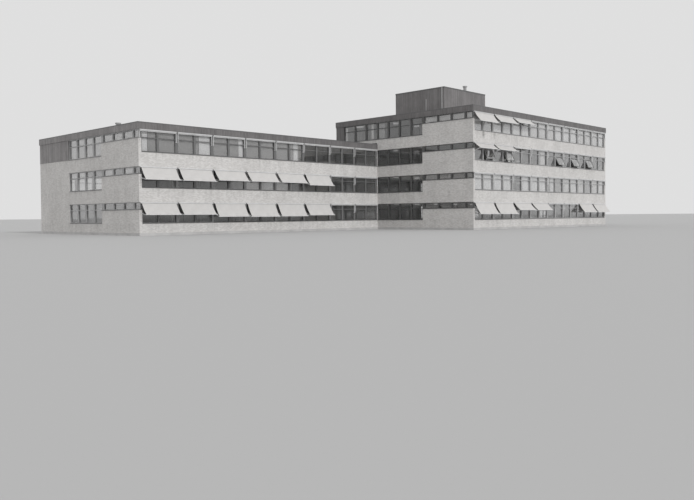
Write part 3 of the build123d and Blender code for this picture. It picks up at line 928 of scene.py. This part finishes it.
def curtain(name, row, start, end, share, finish):
    """A pleated curtain behind a stretch of windows, down from its rail over a share of their height."""
    width, height = end - start, share * (row.head - row.foot - 2 * CURTAIN_GAP)
    pleats = max(1, round(width / PLEAT))
    columns = pleats * PLEAT_STEPS
    # The cut width follows the pleats at the foot
    steps = [k / columns for k in range(columns + 1)]
    waves = [PLEAT_DEPTH * sin(2 * pi * pleats * step) for step in steps]
    cut = sum(hypot(width / columns, b - a) for a, b in zip(waves, waves[1:]))
    bm = flat_sheet(columns, CURTAIN_ROWS, cut, height)
    for vert in bm.verts:
        along, up = vert.co.x + 0.5, vert.co.y + 0.5
        depth = CURTAIN_SETBACK + PLEAT_DEPTH * (1 - PLEAT_TAPER * up) * sin(2 * pi * pleats * along)
        place = Vector((start + along * width, row.head - CURTAIN_GAP - (1 - up) * height, depth))
        vert.co = row.face.matrix @ place
    bmesh.ops.recalc_face_normals(bm, faces=bm.faces)
    cloth = make_piece(name, bm, "awning_cloth", finish)
    thicken(cloth, CURTAIN_THICKNESS)
    rail = bmesh.new()
    middle = ((start + end) / 2, row.head - CURTAIN_RAIL / 2, CURTAIN_SETBACK)
    add_rod(rail, row.face, middle, "width", CURTAIN_RAIL / 2, width, facets=RAIL_FACETS)
    rod = make_piece(name + "_rail", rail, "window_frame", LIGHT_METAL)


def curtains(places, noun, finish):
    """All curtains of one kind, numbered along each row from its start."""
    for wing_name, side, storey, kind, stretches in places:
        wing = LEFT if wing_name == LEFT.name else RIGHT
        row = next(r for r in rows_of(wing, side) if (r.storey, r.kind) == (storey, kind))
        for k, (first, last, *share) in enumerate(stretches):
            start, end = row.place(first) + CURTAIN_GAP, row.place(last) - CURTAIN_GAP
            if row.kind == "high":
                start = max(start, wing.front + CURTAIN_SETBACK + 2 * PLEAT_DEPTH)
            name = f"{wing.name}_{side}_{kind}_{noun}_{storey}_{k + 1}"
            curtain(name, row, start, end, share[0] if share else 1, finish)


def is_lower(edge, height):
    """Whether an edge lies wholly under a height."""
    return all(v.co.z < height for v in edge.verts)


def add_lamp(bm, place, length):
    """A box lamp with its lower edges rounded."""
    size = Matrix.Diagonal((LAMP_WIDTH, length, LAMP_HEIGHT, 1))
    made = bmesh.ops.create_cube(bm, size=1, matrix=Matrix.Translation(place) @ size)
    edges = dict.fromkeys(e for v in made["verts"] for e in v.link_edges)
    bmesh.ops.bevel(
        bm,
        geom=[e for e in edges if is_lower(e, place[2])],
        offset=LAMP_ROUNDING,
        segments=2,
        profile=0.5,
        affect="EDGES",
        material=-1,
    )


def lamps():
    """The lamps under the right wing's ceilings, one in each bay of a row."""
    bay = (RIGHT.right - RIGHT.left) / BAYS
    bm = bmesh.new()
    for storeys, bays, from_bay, from_back, drop, length in LAMP_ROWS:
        for n in storeys:
            for k in range(bays):
                x, y = RIGHT.left + k * bay + from_bay, RIGHT.back - from_back
                add_lamp(bm, (x, y, RIGHT.ceiling(n) - drop - LAMP_HEIGHT / 2), length)
    make_piece("right_wing_lamps", bm, "pipework", LAMP)


# Boarding and roof edges


def boarding():
    """Boards over the end walls' boarded parts, from the top storey's last window to the back."""
    bm = bmesh.new()
    for wing in WINGS:
        for side in END_SIDES:
            row = end_rows(wing, side)[-1]
            add_boards(bm, row.face, row.lines[-1], wing.back, row.foot, row.head)
    make_piece("end_cladding_boards", bm, "cladding", BOARDS)


def box_faces(low, high):
    """The faces of a box, in the order of SIDES, each with its own stretch of width."""
    return [
        (Face((0, low.y, 0), X_AXIS, Y_AXIS), low.x, high.x),
        (Face((0, high.y, 0), X_AXIS, -Y_AXIS), low.x, high.x),
        (Face((low.x, 0, 0), Y_AXIS, X_AXIS), low.y, high.y),
        (Face((high.x, 0, 0), Y_AXIS, -X_AXIS), low.y, high.y),
    ]


def roof_edges():
    """Boards, a folded trim and a felt upstand along each stretch of the roofs' edges."""
    for wing in WINGS:
        boards, trim, upstand = bmesh.new(), bmesh.new(), bmesh.new()
        low, high = wing.fascia_low, wing.fascia_high
        inside = wing.front - low.y
        for side, (face, start, end) in zip(SIDES, box_faces(low, high)):
            if wing is LEFT and side == "front":
                end = RIGHT.left
            if wing is LEFT and side == "right":
                start = RIGHT.back
            top = high.z + TRIM_HEIGHT
            add_boards(boards, face, start, end, low.z, high.z - TRIM_DROP)
            add_box(trim, face, (start, high.z - TRIM_DROP, -TRIM_METAL), (end, top, 0))
            add_box(trim, face, (start, high.z, 0), (end, top, TRIM_WIDTH))
            low_corner = start + inside, wing.roof, inside
            add_box(upstand, face, low_corner, (end - inside, high.z, inside + TRIM_METAL))
        if wing is LEFT:
            face = Face((RIGHT.left, 0, 0), Y_AXIS, X_AXIS)
            lead = LEFT.roof + UPSTAND
            add_box(upstand, face, (LEFT.front, LEFT.roof, -TRIM_METAL), (RIGHT.back, lead, 0))
            add_box(trim, face, (LEFT.front, lead, -TRIM_METAL), (RIGHT.back, lead + TRIM_HEIGHT, 0))
        make_piece(wing.name + "_fascia_boards", boards, "cladding", BOARDS)
        make_piece(wing.name + "_roof_trim", trim, "window_frame", TRIM)
        make_piece(wing.name + "_roof_upstand", upstand, "roofing", FELT)


def roof_outlets():
    """Tapered gratings over the rainwater outlets, four on each roof."""
    upright = Face((0, 0, 0), X_AXIS, Y_AXIS)
    for wing in WINGS:
        bm = bmesh.new()
        for share in OUTLETS_ALONG:
            x = wing.left + share * (wing.right - wing.left)
            for y in (wing.front + wing.third / 2, wing.back - wing.third / 2):
                place = (x, wing.roof + OUTLET_HEIGHT / 2, y)
                add_rod(bm, upright, place, "height", OUTLET, OUTLET_HEIGHT, OUTLET_TOP, OUTLET_FACETS)
        make_piece(wing.name + "_roof_outlets", bm, "roofing", TRIM)


def plant_room():
    """Boards, a folded trim, an upstand round the foot and clips on the pipes."""
    low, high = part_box("plant_room_walls")
    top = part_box("plant_room_roof")[1].z
    boards, trim, upstand, clips = bmesh.new(), bmesh.new(), bmesh.new(), bmesh.new()
    faces = box_faces(low, high)
    foot = top - TRIM_DROP - TRIM_WIDTH
    skirt = BOARD_RELIEF + BOARD_STANDOFF + TRIM_METAL
    for face, start, end in faces:
        add_boards(boards, face, start, end, low.z, high.z)
        add_box(trim, face, (start - TRIM_HEIGHT, foot, -TRIM_HEIGHT), (end + TRIM_HEIGHT, top, 0))
        add_box(upstand, face, (start - skirt, low.z, -skirt), (end + skirt, low.z + UPSTAND, 0))
    upright = faces[0][0]
    for points in islands("plant_room_pipes"):
        xs, ys, zs = ([p[k] for p in points] for k in range(3))
        middle = (min(xs) + max(xs)) / 2, (min(ys) + max(ys)) / 2
        radius = (max(xs) - min(xs)) / 2 + CLIP_RIM
        for k in range(CLIPS):
            height = low.z + (k + 0.5) * (max(zs) - min(zs)) / CLIPS
            place = Vector((middle[0], height, middle[1] - low.y))
            add_rod(clips, upright, place, "height", radius, CLIP, facets=CLIP_FACETS)
    make_piece("plant_room_boards", boards, "cladding", PLANT_BOARDS)
    make_piece("plant_room_trim", trim, "window_frame", TRIM)
    make_piece("plant_room_upstand", upstand, "roofing", FELT)
    make_piece("plant_room_pipe_clips", clips, "pipework", PIPE)


# Awnings


def awning_cloth(name, points, node):
    """One cloth with a slight sag, from its cassette to the front bar, where its CAD sheet lies."""
    start, end = min(p.x for p in points) + CLOTH_INSET, max(p.x for p in points) - CLOTH_INSET
    # The half of its corners that lies further back is at the slot, the other at the bar
    points = sorted(points, key=lambda p: -p.y)
    half = len(points) // 2
    slot = sum(points[:half], Vector()) / half
    bar = sum(points[half:], Vector()) / half
    run = Vector((0, bar.y - slot.y, bar.z - slot.z))
    down = Vector((0, run.z, -run.y)).normalized()
    if down.z > 0:
        down.negate()
    width, length = end - start, run.length
    bm = flat_sheet(CLOTH_COLUMNS, CLOTH_ROWS, width, length)
    for vert in bm.verts:
        across, along = vert.co.x + 0.5, vert.co.y + 0.5
        # The sag is a share of the length, reached half way down
        sag = CLOTH_SAG * length * 4 * along * (1 - along)
        ripple = CLOTH_RIPPLE * sin(CLOTH_RIPPLES * pi * across + start) * sin(pi * along)
        vert.co = Vector((start + across * width, slot.y, slot.z)) + run * along + down * (sag + ripple)
    if bm.faces[:][0].normal.z < 0:
        bmesh.ops.reverse_faces(bm, faces=bm.faces)
    cloth = make_piece(name, bm, "awning_cloth", AWNING_CLOTH)
    thicken(cloth, CLOTH_THICKNESS)
    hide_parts(node)


def awnings():
    """The cloths, end caps on the cassettes, and a cap on each pivot of the arms."""
    for wing in WINGS:
        node = wing.name + "_awning_cloths"
        solids = sorted(islands(node), key=lambda points: round(max(p.z for p in points) / STOREY))
        for k, points in enumerate(solids):
            awning_cloth(f"{wing.name}_awning_cloth_{k + 1:02d}", points, node)
        caps, pivots = bmesh.new(), bmesh.new()
        for points in islands(wing.name + "_awning_cassettes"):
            add_end_caps(caps, points)
            add_pivots(pivots, wing, points)
        bmesh.ops.recalc_face_normals(caps, faces=caps.faces)
        make_piece(wing.name + "_awning_end_caps", caps, "awning_metal", LIGHT_METAL)
        make_piece(wing.name + "_awning_pivots", pivots, "awning_metal", TRIM)


def add_end_caps(bm, points):
    """Both ends of a cassette: its outline, a little larger, given the cap's thickness."""
    for end, way in ends(points):
        outline = [p for p in points if abs(p.x - end) < CAP]
        middle = sum(outline, Vector()) / len(outline)
        turned = sorted(outline, key=lambda p: atan2(p.z - middle.z, p.y - middle.y))
        rim = [bm.verts.new(p + (p - middle).normalized() * CAP_RIM) for p in turned]
        plate = bm.faces.new(rim)
        grown = bmesh.ops.extrude_face_region(bm, geom=[plate], use_keep_orig=True)["geom"]
        moved = [v for v in grown if isinstance(v, bmesh.types.BMVert)]
        bmesh.ops.translate(bm, vec=(way * CAP, 0, 0), verts=moved)


def add_pivots(bm, wing, points):
    """A round cap outside each arm of the awning whose cassette has these corners."""
    foot = min(p.z for p in points) - BAR_GAP - BAR / 2 - ARM_LENGTH
    depth = -ARM_STANDOFF - ARM_WIDTH / 2
    face = wall_face(wing, "front")
    for end, way in ends(points):
        place = Vector((end + way * PIVOT_DEPTH / 2, foot, depth))
        add_rod(bm, face, place, "width", PIVOT, PIVOT_DEPTH)


# Floor, light and camera


def stage():
    """A plain pale floor that keeps the building's shadow."""
    bm = bmesh.new()
    bmesh.ops.create_grid(bm, x_segments=1, y_segments=1, size=FLOOR_REACH)
    mesh = bpy.data.meshes.new("floor")
    bm.to_mesh(mesh)
    bm.free()
    floor = bpy.data.objects.new("floor", mesh)
    bpy.context.scene.collection.objects.link(floor)
    pale = Finish("pale_floor", roughness=0.9, specular_ior_level=0.1)
    pale.colour(grey(FLOOR_TONE))
    mesh.materials.append(pale.material)


def sky():
    """A world that lights evenly, and shows pale to the camera, in mirrors and through glass."""
    world = bpy.data.worlds.new("pale_sky")
    world.use_nodes = True
    tree = world.node_tree
    light = tree.nodes["Background"]
    light.inputs["Color"].default_value = grey(1.0)
    light.inputs["Strength"].default_value = SKY_LIGHT
    shown = tree.nodes.new("ShaderNodeBackground")
    shown.inputs["Color"].default_value = grey(SKY_TONE)
    path = tree.nodes.new("ShaderNodeLightPath")
    seen = path.outputs["Is Camera Ray"]
    for ray in ("Is Glossy Ray", "Is Transmission Ray"):
        either = tree.nodes.new("ShaderNodeMath")
        either.operation = "MAXIMUM"
        tree.links.new(seen, either.inputs[0])
        tree.links.new(path.outputs[ray], either.inputs[1])
        seen = either.outputs[0]
    mixed = tree.nodes.new("ShaderNodeMixShader")
    tree.links.new(seen, mixed.inputs[0])
    tree.links.new(light.outputs[0], mixed.inputs[1])
    tree.links.new(shown.outputs[0], mixed.inputs[2])
    tree.links.new(mixed.outputs[0], tree.nodes["World Output"].inputs["Surface"])
    bpy.context.scene.world = world


def sun():
    """Soft sunlight from before the fronts."""
    lamp = bpy.data.lights.new("sun", "SUN")
    lamp.energy = SUN_STRENGTH
    lamp.angle = SUN_SIZE
    holder = bpy.data.objects.new("sun", lamp)
    level = X_AXIS * sin(SUN_TO_RIGHT) - Y_AXIS * cos(SUN_TO_RIGHT)
    toward = level * cos(SUN_HEIGHT) + Z_AXIS * sin(SUN_HEIGHT)
    holder.rotation_euler = toward.to_track_quat("Z", "Y").to_euler()
    bpy.context.scene.collection.objects.link(holder)


def camera():
    """The photograph's view: eye height beside the left wing, looking along the fronts."""
    lens = bpy.data.cameras.new("camera")
    lens.sensor_width = CAMERA_SENSOR
    lens.lens = CAMERA_LENS
    lens.shift_y = CAMERA_SHIFT
    lens.clip_start = CAMERA_NEAREST
    lens.clip_end = CAMERA_FARTHEST
    holder = bpy.data.objects.new("camera", lens)
    level = X_AXIS * sin(CAMERA_YAW) + Y_AXIS * cos(CAMERA_YAW)
    ahead = level * cos(CAMERA_PITCH) - Z_AXIS * sin(CAMERA_PITCH)
    right = X_AXIS * cos(CAMERA_YAW) - Y_AXIS * sin(CAMERA_YAW)
    up = right.cross(ahead)
    turned_right = right * cos(CAMERA_ROLL) + up * sin(CAMERA_ROLL)
    turned_up = up * cos(CAMERA_ROLL) - right * sin(CAMERA_ROLL)
    axes = Matrix((turned_right, turned_up, -ahead)).transposed().to_4x4()
    holder.matrix_world = Matrix.Translation(CAMERA_PLACE) @ axes
    bpy.context.scene.collection.objects.link(holder)
    bpy.context.scene.camera = holder


dress_nodes()
sashes_and_sills()
door_handles()
curtains(CURTAINS, "curtain", CURTAIN_CLOTH)
curtains(GREY_CURTAINS, "grey_curtain", GREY_CLOTH)
curtains(WHITE_CURTAINS, "white_curtain", WHITE_CLOTH)
curtains(NETS, "net", NET_CLOTH)
lamps()
boarding()
roof_edges()
roof_outlets()
plant_room()
awnings()
stage()
sky()
sun()
camera()
bpy.context.scene.view_settings.view_transform = "Standard"
